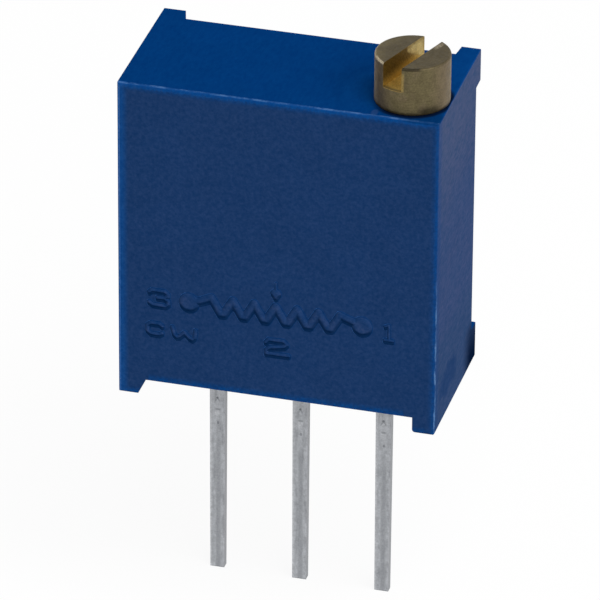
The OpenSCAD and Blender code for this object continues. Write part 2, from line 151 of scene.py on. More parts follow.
class ScrewSettings(bpy.types.PropertyGroup):
    brass_color: color_property("Brass colour", "Dull, darkened brass", (0.142, 0.117, 0.06))
    # Tarnish in clouds, and a painted sheen towards the head's two sides
    tarnish_and_sheen_color: color_property(
        "Tarnish colour", "Purplish grey film on the brass", (0.172, 0.132, 0.08)
    )
    # Also the painted shade on the right half of the rim
    face_color: color_property(
        "Face colour", "Darker film on the head's flat top", (0.084, 0.067, 0.036)
    )
    slot_color: color_property("Slot colour", "Golden brass where the slot was cut", (0.53, 0.365, 0.1))
    # Painted shade on the slot's upper wall, and its dark specks
    shade_and_speck_color: color_property(
        "Burnt colour", "Browned upper part of the slot's wall", (0.145, 0.09, 0.017)
    )
    # Painted reflection at the slot's far end
    bright_color: color_property(
        "Bright colour", "Pale brass where the cutter left the slot", (0.58, 0.45, 0.18)
    )
    # Rubbed brass and painted highlight along the rim, also a pale patch on the top
    rim_color: color_property("Rim colour", "Rubbed brass along the rim", (0.5, 0.43, 0.3))
    # Painted shadow at the head's foot and lower side, and a dark burr on the rim
    shadow_and_soil_color: color_property(
        "Soil colour", "Soil where the head meets the housing", (0.012, 0.01, 0.007)
    )
    # Painted reflection down the head's left side
    left_reflection_color: color_property("Pale colour", "Pale film down the head's left side", (0.4, 0.31, 0.19))
    thread_color: color_property(
        "Thread colour", "Clean brass of the shank and thread inside the housing", (0.62, 0.47, 0.2)
    )
    # Direction across the head along which the painted sheen and shade are laid
    sheen_turn: angle_property("Film turn", "Direction from the X axis in which the film thickens", 13.0)
    slot_width: length_property("Slot width", "Width of the driver slot", 0.62 * MM)
    slot_direction: angle_property("Slot direction", "Direction of the driver slot from the X axis", 70.6)
    slot_depth: length_property("Slot depth", "Depth of the driver slot", 0.75 * MM)
    ring_depth: length_property("Ring depth", "Depth of the rings that turning left", 0.003 * MM)


class TerminalSettings(bpy.types.PropertyGroup):
    tin_color: color_property("Tin colour", "Satin tin on the terminals", (0.44, 0.455, 0.48))
    dull_color: color_property("Dull colour", "Duller clouds and streaks in the tin", (0.27, 0.28, 0.3))
    bright_color: color_property("Bright colour", "Rubbed tin along the corners", (0.56, 0.575, 0.6))
    # Also the painted shadow along the top of the press's dimple
    pressed_color: color_property("Pressed colour", "Soil in the press's marks", (0.13, 0.14, 0.155))
    mark_drop: length_property(
        "Mark drop", "From the feet's soles down to the press's upper mark", 1.43 * MM
    )
    press_depth: length_property("Press depth", "Depth of the press's marks", 0.012 * MM)
    grain_depth: length_property("Grain depth", "Depth of the tin's drawn grain", 0.002 * MM)


class InsideSettings(bpy.types.PropertyGroup):
    seal_color: color_property("Seal colour", "Cast epoxy in the back", (0.012, 0.032, 0.085))
    seal_clouds: color_property("Seal clouds", "Paler clouds in the epoxy", (0.02, 0.05, 0.12))
    rubber_color: color_property("Rubber colour", "The screw's sealing ring", (0.012, 0.012, 0.012))
    rubber_clouds: color_property("Rubber clouds", "Greyer clouds in the rubber", (0.03, 0.03, 0.032))
    steel_color: color_property("Steel colour", "The retaining pin", (0.42, 0.43, 0.45))
    gear_color: color_property("Gear colour", "Natural moulded plastic of the gear", (0.72, 0.69, 0.6))
    gear_clouds: color_property("Gear clouds", "Duller clouds in the plastic", (0.62, 0.58, 0.48))
    spring_color: color_property("Spring colour", "Rolled alloy of the wiper", (0.72, 0.5, 0.2))
    ceramic_color: color_property("Ceramic colour", "Alumina of the substrate", (0.8, 0.77, 0.7))
    ceramic_clouds: color_property("Ceramic clouds", "Duller clouds in the alumina", (0.7, 0.66, 0.58))
    track_color: color_property("Track colour", "Fired resistive film", (0.03, 0.028, 0.028))
    track_clouds: color_property("Track clouds", "Paler clouds in the film", (0.06, 0.055, 0.05))
    silver_color: color_property("Silver colour", "Fired conductor film", (0.58, 0.57, 0.54))
    solder_color: color_property("Solder colour", "Solder on the pads", (0.45, 0.46, 0.48))


class StageSettings(bpy.types.PropertyGroup):
    turn: angle_property("Turn", "How far round to the right the camera stands", 15.036)
    rise: angle_property("Rise", "How far above the horizon the camera stands", 29.216)
    tilt: angle_property("Tilt", "How far the camera leans about its own line of sight", 0.428)
    aim_right: length_property("Aim right", "Where the camera looks, right of the middle", 0.72 * MM)
    aim_up: length_property("Aim up", "Where the camera looks, above the feet's soles", 3.88 * MM)
    distance: length_property("Distance", "From the camera to the point it looks at", 210.65 * MM)
    lens: number_property("Lens", "Focal length of the camera", 438.588, unit="CAMERA")
    key_turn: angle_property("Key turn", "How far round to the right the key light stands", 52.0)
    key_rise: angle_property("Key rise", "How far above the horizon the key light stands", 47.0)
    key_distance: length_property("Key distance", "From the key light to the object", 0.5)
    key_size: length_property("Key size", "Width of the key light", 0.6)
    key_power: number_property("Key power", "Power of the key light", 2.25, unit="POWER")
    surround: share_property("Surround", "Strength of the even light from all round", 0.42)
    floor_tone: share_property("Floor tone", "How much light the floor throws back", 0.3)
    shadow_depth: share_property("Shadow depth", "How dark the shadow on the floor shows", 0.12)


SETTINGS = {
    "trimmer_housing": HousingSettings,
    "trimmer_marks": MarkSettings,
    "trimmer_screw": ScrewSettings,
    "trimmer_terminals": TerminalSettings,
    "trimmer_inside": InsideSettings,
    "trimmer_stage": StageSettings,
}


class Nodes:
    """A node tree, with a short way to add a node to it."""

    def __init__(self, tree):
        self.tree = tree
        tree.nodes.clear()

    def node(self, kind, *inputs, **settings):
        """A new node, with its first sockets linked or set to the inputs."""
        made = self.tree.nodes.new(kind)
        for key, value in settings.items():
            setattr(made, key, value)
        for socket, value in zip(made.inputs, inputs):
            self.put(socket, value)
        return made

    def put(self, socket, value):
        if isinstance(value, bpy.types.NodeSocket):
            self.tree.links.new(value, socket)
        elif hasattr(value, "__len__") and socket.type == "RGBA":
            socket.default_value = (*value[:3], 1.0)
        else:
            socket.default_value = value


class Finish(Nodes):
    """A material, with short ways to mix masks. Its coordinates are the model's, in millimetres."""

    def __init__(self, name):
        self.material = bpy.data.materials.new(name)
        self.material.use_nodes = True
        super().__init__(self.material.node_tree)
        self.shader = self.node("ShaderNodeBsdfPrincipled")
        self.node("ShaderNodeOutputMaterial", self.shader.outputs[0])
        coords = self.node("ShaderNodeTexCoord")
        self.place = self.scaled(coords.outputs["Object"], (1 / MM,) * 3)
        self.x, self.y, self.z = self.split(self.place)
        self.facing = self.split(coords.outputs["Normal"])

    def set(self, **values):
        for key, value in values.items():
            self.put(self.shader.inputs[key.replace("_", " ")], value)

    def split(self, vector):
        return tuple(self.node("ShaderNodeSeparateXYZ", vector).outputs)

    def join(self, x, y, z):
        return self.node("ShaderNodeCombineXYZ", x, y, z).outputs[0]

    def scaled(self, vector, shares):
        return self.node("ShaderNodeVectorMath", vector, shares, operation="MULTIPLY").outputs[0]

    def math(self, operation, a, b=0.0):
        return self.node("ShaderNodeMath", a, b, operation=operation).outputs[0]

    def joined(self, operation, values):
        """The values brought together two at a time, from the first to the last."""
        made = values[0]
        for value in values[1:]:
            made = self.math(operation, made, value)
        return made

    def plus(self, *values):
        return self.joined("ADD", values)

    def minus(self, a, b):
        return self.math("SUBTRACT", a, b)

    def times(self, a, b):
        return self.math("MULTIPLY", a, b)

    def least(self, *values):
        return self.joined("MINIMUM", values)

    def both(self, *masks):
        return self.joined("MULTIPLY", masks)

    def either(self, *masks):
        return self.joined("MAXIMUM", masks)

    def shifted(self, value, noise, reach):
        """The value, moved by up to half of reach either way as the noise changes."""
        return self.plus(value, self.times(self.minus(noise, 0.5), reach))

    def ramp(self, value, low, high, out_low=0.0, out_high=1.0):
        """Runs smoothly from out_low at low to out_high at high. Low may be above high."""
        numbers = (value, low, high, out_low, out_high)
        return self.node("ShaderNodeMapRange", *numbers, interpolation_type="SMOOTHSTEP").outputs[0]

    def near(self, value, centre, half, soft):
        """1 where value is within half of centre, falling to 0 over soft."""
        away = self.math("ABSOLUTE", self.minus(value, centre))
        return self.ramp(away, half + soft, half)

    def spot(self, a, b, centre, radii):
        """1 inside an ellipse, falling to 0 round its outline."""
        da = self.times(self.minus(a, centre[0]), 1 / radii[0])
        db = self.times(self.minus(b, centre[1]), 1 / radii[1])
        soft_from, soft_to = 0.4, 1.5
        away = self.plus(self.times(da, da), self.times(db, db))
        return self.ramp(away, soft_to, soft_from)

    def round_axis(self, axis):
        """Distance from an upright axis, with the offsets from it along X and along Y."""
        dx = self.minus(self.x, axis.x)
        dy = self.minus(self.y, axis.y)
        return self.math("SQRT", self.plus(self.times(dx, dx), self.times(dy, dy))), dx, dy

    def blend(self, share, a, b, kind="MIX"):
        made = self.node("ShaderNodeMix", share, data_type="RGBA", blend_type=kind)
        for socket, value in zip(made.inputs[MIX_COLORS], (a, b)):
            self.put(socket, value)
        return made.outputs[MIX_RESULT]

    def noise(self, scale, detail=3.0, rough=0.5, at=None):
        made = self.node("ShaderNodeTexNoise", self.place if at is None else at)
        for name, value in (("Scale", scale), ("Detail", detail), ("Roughness", rough)):
            self.put(made.inputs[name], value)
        return made.outputs[0]

    def shade(self, color, value, low, high):
        """The colour, made darker or lighter by a value from 0 to 1."""
        tone = self.ramp(value, *NOISE_RANGE, low, high)
        return self.blend(1.0, color, self.join(tone, tone, tone), "MULTIPLY")

    def grained(self, color, value, spreads):
        """The colour, with red, green and blue each spread by its own share as the value changes."""
        tones = [self.ramp(value, *NOISE_RANGE, 1.0 - spread, 1.0 + spread) for spread in spreads]
        return self.blend(1.0, color, self.join(*tones), "MULTIPLY")

    def bump(self, height, depth, normal=None):
        """Moves the surface by depth, in metres, as height runs from 0 to 1."""
        made = self.node("ShaderNodeBump")
        self.put(made.inputs["Height"], height)
        made.inputs["Distance"].default_value = depth
        if normal is not None:
            self.put(made.inputs["Normal"], normal)
        return made.outputs[0]


def new_object(name, data):
    made = bpy.data.objects.new(name, data)
    bpy.context.scene.collection.objects.link(made)
    return made


def wear(node_name, finish):
    """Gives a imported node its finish."""
    for slot in frame["nodes"][node_name].material_slots:
        slot.material = finish.material


# ---- Housing and its raised marks ----


def top_blue(f, settings):
    """Smooth blue of the top, with painted light beside the screw where the head's shadow falls, and clearer blue
    towards the right edge.
    """
    right_x = HOUSING_HIGH.x / MM
    # Painted light, lifting the head's shadow on the top to the left of the screw
    beside = f.spot(f.x, f.y, (SCREW.x - 1.3, SCREW.y + 0.25), (0.75, 1.2))
    by_edge = f.ramp(f.x, right_x - 0.9, right_x - 0.3, 0.0, 0.22)
    return f.blend(f.either(f.times(beside, 0.3), by_edge), settings.top_color, settings.band_color)


def side_sheen(f, settings, clouds, patches, fine):
    """Painted sheen on the two sides: palest above and weaker below, with a gap on the right and painted shade in
    the lower rear corners.
    """
    pale_from, pale_to = 5.6, 9.6
    low_sheen_from, low_sheen_to = 3.4, 2.2
    sheen = f.blend(f.ramp(f.z, pale_from, pale_to), settings.side_sheen_color, settings.upper_sheen_color)
    sheen = f.blend(f.ramp(f.z, low_sheen_from, low_sheen_to), sheen, settings.lower_sheen_color)
    sheen = f.blend(f.ramp(clouds, 0.4, 0.65, 0.0, 0.25), sheen, settings.lower_sheen_color)

    # A patch on the right side where the painted sheen gives way to the front's blue
    gap_middle, gap_reach = (-1.4, 1.06), (1.0, 0.5)
    sheen_gap = f.both(
        f.ramp(f.x, 0.0, 1.0),
        f.spot(f.shifted(f.y, clouds, 1.6), f.shifted(f.z, patches, 0.9), gap_middle, gap_reach),
        f.ramp(fine, 0.3, 0.6, 0.6, 1.0),
    )
    sheen = f.blend(f.times(sheen_gap, 0.75), sheen, settings.front_color)

    by_front = f.ramp(f.y, FRONT_Y + 0.55, FRONT_Y + 0.15, 0.0, 0.3)
    sheen = f.blend(by_front, sheen, settings.band_color)
    # Painted shade in the lower rear corners of the sides
    corner = f.both(
        f.ramp(f.y, RIM_Y - 0.9, RIM_Y + 0.2),
        f.ramp(f.z, 1.6, 1.15),
        f.ramp(f.z, 1.3, 0.2, 0.6, 1.0),
    )
    return f.blend(f.times(corner, 0.95), sheen, settings.corner_shade_color)


def clear_edges(f, settings, color, front, proud, patches, fine):
    """Adds the clear blue beside the edges of the front and on all rounded edges, and a painted highlight along
    the front's left edge.
    """
    low, high = HOUSING_LOW / MM, HOUSING_HIGH / MM
    band = settings.band_width / MM
    foot_width, foot_flank = 0.95, 0.12
    between_feet = f.near(f.x, 0.0, high.x - foot_width, foot_flank)
    sole = f.times(between_feet, settings.foot_height / MM)
    from_edge = f.least(
        f.minus(f.x, low.x),
        f.minus(high.x, f.x),
        f.minus(high.z, f.z),
        f.minus(f.minus(f.z, low.z), sole),
    )
    outward, forward, upright = (f.math("ABSOLUTE", part) for part in f.facing)
    broken = f.both(
        f.ramp(f.x, high.x - 0.35, high.x - 0.25, 1.0, 0.6),
        f.ramp(fine, 0.38, 0.58, 0.5, 1.0),
    )
    clear = f.both(
        front,
        broken,
        f.ramp(from_edge, 1.3 * band, 0.25 * band),
        f.ramp(patches, 0.3, 0.7, 0.7, 1.0),
        f.ramp(outward, 0.95, 0.75),
        f.ramp(f.facing[2], 0.95, 0.8),
    )
    # Painted highlight in a band along the front's left edge
    left_highlight_band = f.both(
        front,
        f.ramp(f.x, low.x + 0.12, low.x + 0.36, 0.9, 0.0),
        f.ramp(patches, 0.3, 0.7, 0.85, 1.0),
    )
    color = f.blend(f.either(clear, left_highlight_band), color, settings.band_color)

    rounding = f.both(
        f.minus(1.0, proud),
        f.ramp(f.either(outward, forward, upright), 0.985, 0.9),
        f.ramp(patches, 0.32, 0.62, 0.6, 0.95),
        broken,
    )
    color = f.blend(rounding, color, settings.edge_color)
    # Painted highlight on the rounded edge at the left
    left = f.either(f.both(front, f.ramp(f.facing[0], -0.1, -0.4)), f.times(left_highlight_band, 0.12))
    left = f.both(left, f.ramp(patches, 0.3, 0.6, 0.75, 1.0))
    return f.blend(left, color, settings.left_highlight_color)


def edge_glints(f, settings, color, front):
    """Adds thin broken painted glint lines along the front's upper and right edges."""
    line_breaks = f.noise(1.0, 5.0, 0.7, at=f.scaled(f.place, (2.2, 6.0, 2.2)))
    # Painted glint along the front's upper edge
    upper = f.both(
        f.ramp(f.facing[2], 0.72, 0.86),
        f.ramp(f.facing[2], 0.99, 0.97),
        f.ramp(line_breaks, 0.42, 0.58, 0.06, 0.45),
    )
    wander = f.noise(1.0, 4.0, 0.6, at=f.scaled(f.place, (0.5, 0.5, 1.6)))
    turned = f.shifted(f.facing[0], wander, 0.9)
    glint_from, glint_to = 5.6, 3.4
    # Painted glint along the front's right edge
    right = f.both(
        f.ramp(turned, 0.7, 0.85),
        f.ramp(turned, 1.05, 0.97),
        f.ramp(f.facing[0], 0.35, 0.5),
        f.ramp(f.facing[0], 0.999, 0.992),
        f.ramp(f.z, glint_from, glint_to),
        f.ramp(line_breaks, 0.42, 0.56, 0.08, 0.8),
    )
    return f.blend(f.both(front, f.either(upper, right)), color, settings.edge_glint_color)


def shaded_marks(f, settings, color, proud, patches):
    """Adds paler patches on the raised marks, painted shade on their upper slopes, and painted shadow on their
    lower slopes and below them.
    """
    dusty = f.both(proud, f.ramp(patches, 0.45, 0.65, 0.0, 0.3))
    color = f.blend(dusty, color, settings.side_sheen_color)
    marked = f.ramp(f.y, FRONT_Y - 0.001, FRONT_Y - 0.004)
    # Painted shade that darkens the marks' upper slopes
    above = f.both(marked, f.ramp(f.facing[2], 0.02, 0.35))
    color = f.blend(f.times(above, 0.35), color, settings.shade_color)
    # Painted shadow on the marks' lower slopes and on the skirt below them
    skirt = f.both(
        f.ramp(f.y, FRONT_Y - 0.001, FRONT_Y - 0.009),
        f.ramp(f.y, FRONT_Y - 0.02, FRONT_Y - 0.014),
    )
    under = f.either(f.both(proud, f.ramp(f.facing[2], -0.06, -0.3)), skirt)
    return f.blend(f.times(under, 0.78), color, settings.shade_color)


def shade_by_screw(f, settings, color, top):
    """Adds the painted shade in the corner by the screw, the painted contact shadow round its head and one small
    paler spot.
    """
    front_corner = (HOUSING_HIGH.x / MM - 0.3, FRONT_Y + 0.12)
    # Painted shade on the top in its front right corner, by the screw
    in_corner = f.both(f.ramp(f.facing[2], 0.3, 0.7), f.spot(f.x, f.y, front_corner, (0.8, 0.5)))
    color = f.blend(f.times(in_corner, 0.6), color, settings.shade_color)
    away, dx, _ = f.round_axis(SCREW)
    # Painted contact shadow round the head's foot
    ring = f.both(
        top,
        f.ramp(away, HEAD_R + settings.shadow_ring_width / MM, HEAD_R + 0.05),
        f.ramp(dx, -HEAD_R, -0.4 * HEAD_R, 0.1, 1.0),
    )
    color = f.blend(f.times(ring, 0.92), color, settings.shadow_and_soil_color)
    # A small paler spot on the top, in front of the head and to its left
    pale_spot = f.both(top, f.spot(f.x, f.y, (SCREW.x - 0.82, SCREW.y - 1.12), (0.1, 0.2)))
    return f.blend(f.times(pale_spot, 0.3), color, settings.lower_sheen_color)


def housing_finish(settings):
    """Moulded blue plastic: grained front, deeper smooth top, sides paled by a painted sheen, and clear blue
    edges.
    """
    f = Finish("housing_blue")
    clouds = f.noise(0.9, 3.0, 0.55)
    patches = f.noise(4.5, 4.0, 0.65)
    drawn = f.scaled(f.place, (1.0, 0.4, 1.0))
    fine = f.noise(13.0, 4.0, 0.65, at=drawn)
    grain = f.noise(14.0, 5.0, 0.65, at=drawn)
    proud = f.ramp(f.y, FRONT_Y - 0.004, FRONT_Y - 0.012)
    front = f.both(f.minus(1.0, proud), f.ramp(f.y, FRONT_Y + 0.13, FRONT_Y + 0.1))
    top = f.ramp(f.facing[2], 0.55, 0.9)
    side = f.ramp(f.math("ABSOLUTE", f.facing[0]), 0.7, 0.98)

    color = f.blend(top, settings.front_color, top_blue(f, settings))
    color = f.blend(side, color, side_sheen(f, settings, clouds, patches, fine))
    color = clear_edges(f, settings, color, front, proud, patches, fine)
    color = edge_glints(f, settings, color, front)
    color = shaded_marks(f, settings, color, proud, patches)
    color = shade_by_screw(f, settings, color, top)

    side_calm, top_calm = 0.7, 0.6
    calm = f.least(f.ramp(side, 0.0, 1.0, 1.0, side_calm), f.ramp(top, 0.0, 1.0, 1.0, top_calm))
    coarse = f.shifted(0.5, f.noise(7.5, 4.0, 0.7, at=drawn), calm)
    color = f.grained(color, coarse, (0.38, 0.16, 0.09))
    color = f.grained(color, f.shifted(0.5, fine, calm), (0.22, 0.1, 0.07))
    f.set(
        Base_Color=f.shade(color, clouds, 0.97, 1.03),
        Roughness=f.ramp(grain, 0.3, 0.7, 0.42, 0.62),
        Specular_IOR_Level=0.0,
        Normal=f.bump(grain, settings.grain_depth),
    )
    return f


def polyline(points, half):
    """A stroke of even width through points of x and z, as rows of x, z and half width."""
    return [(x, z, half) for x, z in points]


def capsule_distance(x, z, start, end):
    """Distance outside a stroke's segment, with the segment's half width taken off."""
    (x0, z0, w0), (x1, z1, w1) = start, end
    dx, dz = x1 - x0, z1 - z0
    span = max(dx * dx + dz * dz, 1e-12)
    along = np.clip(((x - x0) * dx + (z - z0) * dz) / span, 0.0, 1.0)
    return np.hypot(x - x0 - along * dx, z - z0 - along * dz) - (w0 + along * (w1 - w0))


def rounded(share):
    """Rises from 0 to 1 as share does, steep at first and level at the end."""
    share = np.clip(share, 0.0, 1.0)
    return share * (2.0 - share)


def relief_grid(strokes, settings):
    """An even grid over the strokes and the skirt below them, as arrays of x and z."""
    points = np.array([p for stroke in strokes for p in stroke]) * MM
    reach = points[:, 2].max() + 3 * settings.step
    low = points[:, :2].min(0) - reach - settings.skirt
    high = points[:, :2].max(0) + reach
    counts = np.ceil((high - low) / settings.step).astype(int) + 1
    xs = low[0] + settings.step * np.arange(counts[0])
    zs = low[1] + settings.step * np.arange(counts[1])
    return np.meshgrid(xs, zs, indexing="ij")


def raised_plate(name, x, y, z, inside, back_y):
    """A closed mesh with its face at y over the cells that touch inside, and its back at back_y."""
    cells = inside[:-1, :-1] | inside[1:, :-1] | inside[:-1, 1:] | inside[1:, 1:]
    index = np.arange(x.size).reshape(x.shape)
    a, b, c, d = index[:-1, :-1], index[1:, :-1], index[1:, 1:], index[:-1, 1:]
    quads = np.stack([a[cells], b[cells], c[cells], d[cells]], 1)
    edges = np.concatenate([quads[:, [i, (i + 1) % 4]] for i in range(4)])
    there = {tuple(e) for e in edges.tolist()}
    # An edge of the rim has no partner that runs the other way
    rim = [e for e in there if (e[1], e[0]) not in there]
    used = np.unique(quads)
    renumber = np.full(x.size, -1)
    renumber[used] = np.arange(len(used))
    face_x, face_y, face_z = x.ravel()[used], y.ravel()[used], z.ravel()[used]
    face_points = np.stack([face_x, face_y, face_z], 1)
    back_points = np.stack([face_x, np.full(len(used), back_y), face_z], 1)
    shift = len(used)
    faces = [tuple(q) for q in renumber[quads].tolist()]
    faces += [tuple(v + shift for v in reversed(q)) for q in faces]
    for p, q in sorted(rim):
        p, q = int(renumber[p]), int(renumber[q])
        faces.append((q, p, p + shift, q + shift))
    mesh = bpy.data.meshes.new(name)
    mesh.from_pydata(np.concatenate([face_points, back_points]).tolist(), [], faces)
    mesh.validate()
    mesh.shade_smooth()
    return new_object(name, mesh)


def relief(name, strokes, settings):
    """A closed, softly edged shape that stands out from the housing's front along the strokes."""
    x, z = relief_grid(strokes, settings)
    away = np.full(x.shape, 1.0)
    below = away
    for stroke in strokes:
        rows = [tuple(v * MM for v in p) for p in stroke]
        for start, end in zip(rows, rows[1:] or rows):
            away = np.minimum(away, capsule_distance(x, z, start, end))
            below = np.minimum(below, capsule_distance(x, z + settings.skirt, start, end))
    rise = settings.height * rounded(-away / settings.flank)
    rise = np.maximum(rise, settings.skirt_height * rounded(-below / settings.skirt))
    away = np.minimum(away, below)
    sink = 0.5 * settings.height
    y = HOUSING_LOW.y - rise + np.clip(away / settings.step, 0.0, 1.0) * sink
    return raised_plate(name, x, y, z, away < 1.5 * settings.step, HOUSING_LOW.y + 2.0 * sink)


def figure_strokes(half):
    """The figures beside the terminals, and the letters that name the screw's direction."""
    return {
        "mark_3": [
            polyline([(-3.8, 3.47), (-3.72, 3.54), (-3.34, 3.535), (-3.24, 3.46), (-3.25, 3.38),
                      (-3.35, 3.31), (-3.55, 3.31)], half),
            polyline([(-3.35, 3.31), (-3.23, 3.24), (-3.22, 3.14), (-3.31, 3.055), (-3.7, 3.065),
                      (-3.8, 3.14)], half),
        ],
        "mark_cw": [
            polyline([(-3.42, 2.38), (-3.5, 2.44), (-3.76, 2.445), (-3.86, 2.36), (-3.86, 2.18),
                      (-3.76, 2.1), (-3.5, 2.09), (-3.42, 2.14)], half),
            polyline([(-3.11, 2.4), (-3.05, 2.17), (-2.97, 2.09), (-2.89, 2.12), (-2.74, 2.27),
                      (-2.6, 2.12), (-2.5, 2.07), (-2.44, 2.14), (-2.41, 2.38)], half),
        ],
        "mark_2": [
            polyline([(-0.29, 2.33), (-0.21, 2.43), (0.24, 2.435), (0.34, 2.34), (0.26, 2.25),
                      (-0.18, 2.17), (-0.28, 2.08), (-0.28, 1.97), (0.39, 1.97)], half),
        ],
        "mark_1": [
            polyline([(3.26, 3.39), (3.38, 3.45), (3.38, 2.96)], 0.75 * half),
            polyline([(3.26, 2.95), (3.49, 2.95)], 0.9 * half),
        ],
    }


def resistor_strokes(settings):
    """A resistor's wave between two dots, with the wiper's arrow over its middle."""
    valleys = 6
    high, low = 3.55, 3.07
    pitch, flat = 0.642, 0.045
    first = -pitch * (valleys - 1) / 2
    half = settings.wave_stroke / MM
    wave = []
    for i in range(valleys):
        middle = first + i * pitch
        wave += [(middle - pitch / 2, high), (middle - flat, low), (middle + flat, low)]
    wave.append((first + (valleys - 0.5) * pitch, high))
    left_dot, lead, right_dot = (-2.6, 3.3), (-2.25, 3.4), (2.58, 3.3)
    line = polyline([left_dot, lead, *wave, right_dot], half)
    dots = [polyline([dot], settings.dot_radius / MM) for dot in (left_dot, right_dot)]
    shaft = [(0.0, 4.32, 0.05), (0.0, 3.99, 0.07)]
    arrow = [(0.0, 3.97, 0.18), (0.0, 3.85, 0.1)]
    return [line, *dots, shaft, arrow]


# ---- Screw, terminals and inner pieces ----


def places_on_screw(f, settings):
    """Where a point lies on the screw, by its axis, its slot and the direction of its painted sheen, and down from
    its top.
    """
    slot_cos, slot_sin = math.cos(settings.slot_direction), math.sin(settings.slot_direction)
    sheen_cos, sheen_sin = math.cos(settings.sheen_turn), math.sin(settings.sheen_turn)
    radius, dx, dy = f.round_axis(SCREW)
    return SimpleNamespace(
        radius=radius,
        along=f.plus(f.times(dx, slot_cos), f.times(dy, slot_sin)),
        across=f.minus(f.times(dy, slot_cos), f.times(dx, slot_sin)),
        sideways=f.plus(f.times(dx, sheen_cos / HEAD_R), f.times(dy, sheen_sin / HEAD_R)),
        down=f.minus(HEAD_Z, f.z),
    )


def dulled_brass(f, settings, at, mottle, rings):
    """The head's outside and flat top: dull brass under uneven tarnish, with a painted sheen towards its two sides
    and a painted reflection down its left side.
    """
    # Painted sheen towards the head's two sides, and tarnish in clouds
    sheen_and_tarnish = f.either(
        f.ramp(f.math("ABSOLUTE", at.sideways), 0.4, 0.9), f.ramp(mottle, 0.45, 0.65, 0.0, 0.6)
    )
    color = f.blend(sheen_and_tarnish, settings.brass_color, settings.tarnish_and_sheen_color)
    # Painted reflection down the head's left side
    color = f.blend(f.ramp(at.sideways, -0.86, -0.99), color, settings.left_reflection_color)
    by_rim = f.both(
        f.ramp(at.radius, HEAD_R - 0.42, HEAD_R - 0.12, 0.0, 0.6),
        f.ramp(at.across, 0.25, 0.75),
        f.ramp(mottle, 0.4, 0.6, 0.3, 1.0),
    )
    face = f.blend(by_rim, settings.face_color, settings.brass_color)
    color = f.blend(f.ramp(f.facing[2], 0.6, 0.9), color, face)
    color = f.shade(color, rings, 0.94, 1.06)
    return f.shade(color, f.noise(4.5, 3.0, 0.6), 0.84, 1.16)


def handled_head(f, settings, at, color, mottle, speck):
    """Adds the rim's rubbed brass and painted highlight, painted shade on the rim's right half, the painted shadow
    at the foot and the strip of clean brass beside the slot.
    """
    rim = f.both(f.ramp(at.radius, HEAD_R - 0.1, HEAD_R - 0.05), f.ramp(at.down, 0.09, 0.04))
    # Rubbed brass and painted highlight along the rim, mostly on its left
    rubbed = f.both(
        rim,
        f.ramp(at.radius, HEAD_R - 0.07, HEAD_R - 0.04),
        f.either(
            f.ramp(at.across, 0.45, 0.9, 0.0, 0.35),
            f.spot(at.along, at.across, (-0.93, 0.52), (0.25, 0.3)),
        ),
        f.ramp(speck, 0.35, 0.6, 0.5, 1.0),
    )
    color = f.blend(rubbed, color, settings.rim_color)
    # Painted shade that dulls the right half of the rim
    rim_shade = f.both(
        f.ramp(at.radius, HEAD_R - 0.12, HEAD_R - 0.03),
        f.ramp(at.down, 0.07, 0.03),
        f.ramp(at.across, -0.3, -0.6),
    )
    color = f.blend(f.times(rim_shade, 0.6), color, settings.face_color)
    burr = f.both(rim, f.spot(at.along, at.across, (-0.92, -0.52), (0.3, 0.3)))
    color = f.blend(f.times(burr, 0.75), color, settings.shadow_and_soil_color)
    # A pale patch on the head's flat top
    pale_patch = f.both(
        f.ramp(at.down, 0.06, 0.02),
        f.spot(at.along, at.across, (0.72, -0.4), (0.22, 0.08)),
        f.ramp(speck, 0.35, 0.6, 0.1, 0.45),
    )
    color = f.blend(pale_patch, color, settings.rim_color)
    # Painted contact shadow at the head's foot and on its lower side
    foot = f.ramp(f.z, SEAT_Z + 0.02, SEAT_Z + 0.14, 0.85, 0.0)
    lower_shadow = f.both(
        f.near(at.sideways, 0.45, 0.12, 0.3), f.ramp(f.z, SEAT_Z + 0.08, SEAT_Z + 0.36, 0.65, 0.0)
    )
    color = f.blend(f.either(foot, lower_shadow), color, settings.shadow_and_soil_color)

    slot_depth = settings.slot_depth / MM
    slot_edge = -settings.slot_width / 2 / MM
    beside = f.both(
        f.near(at.across, slot_edge - 0.02, 0.02, 0.05),
        f.ramp(at.along, 0.0, -0.4),
        f.ramp(at.down, 0.1, 0.2),
        f.ramp(at.down, slot_depth + 0.03, slot_depth - 0.05),
        f.ramp(mottle, 0.35, 0.6, 0.5, 1.0),
    )
    return f.blend(f.times(beside, 0.45), color, settings.slot_color)


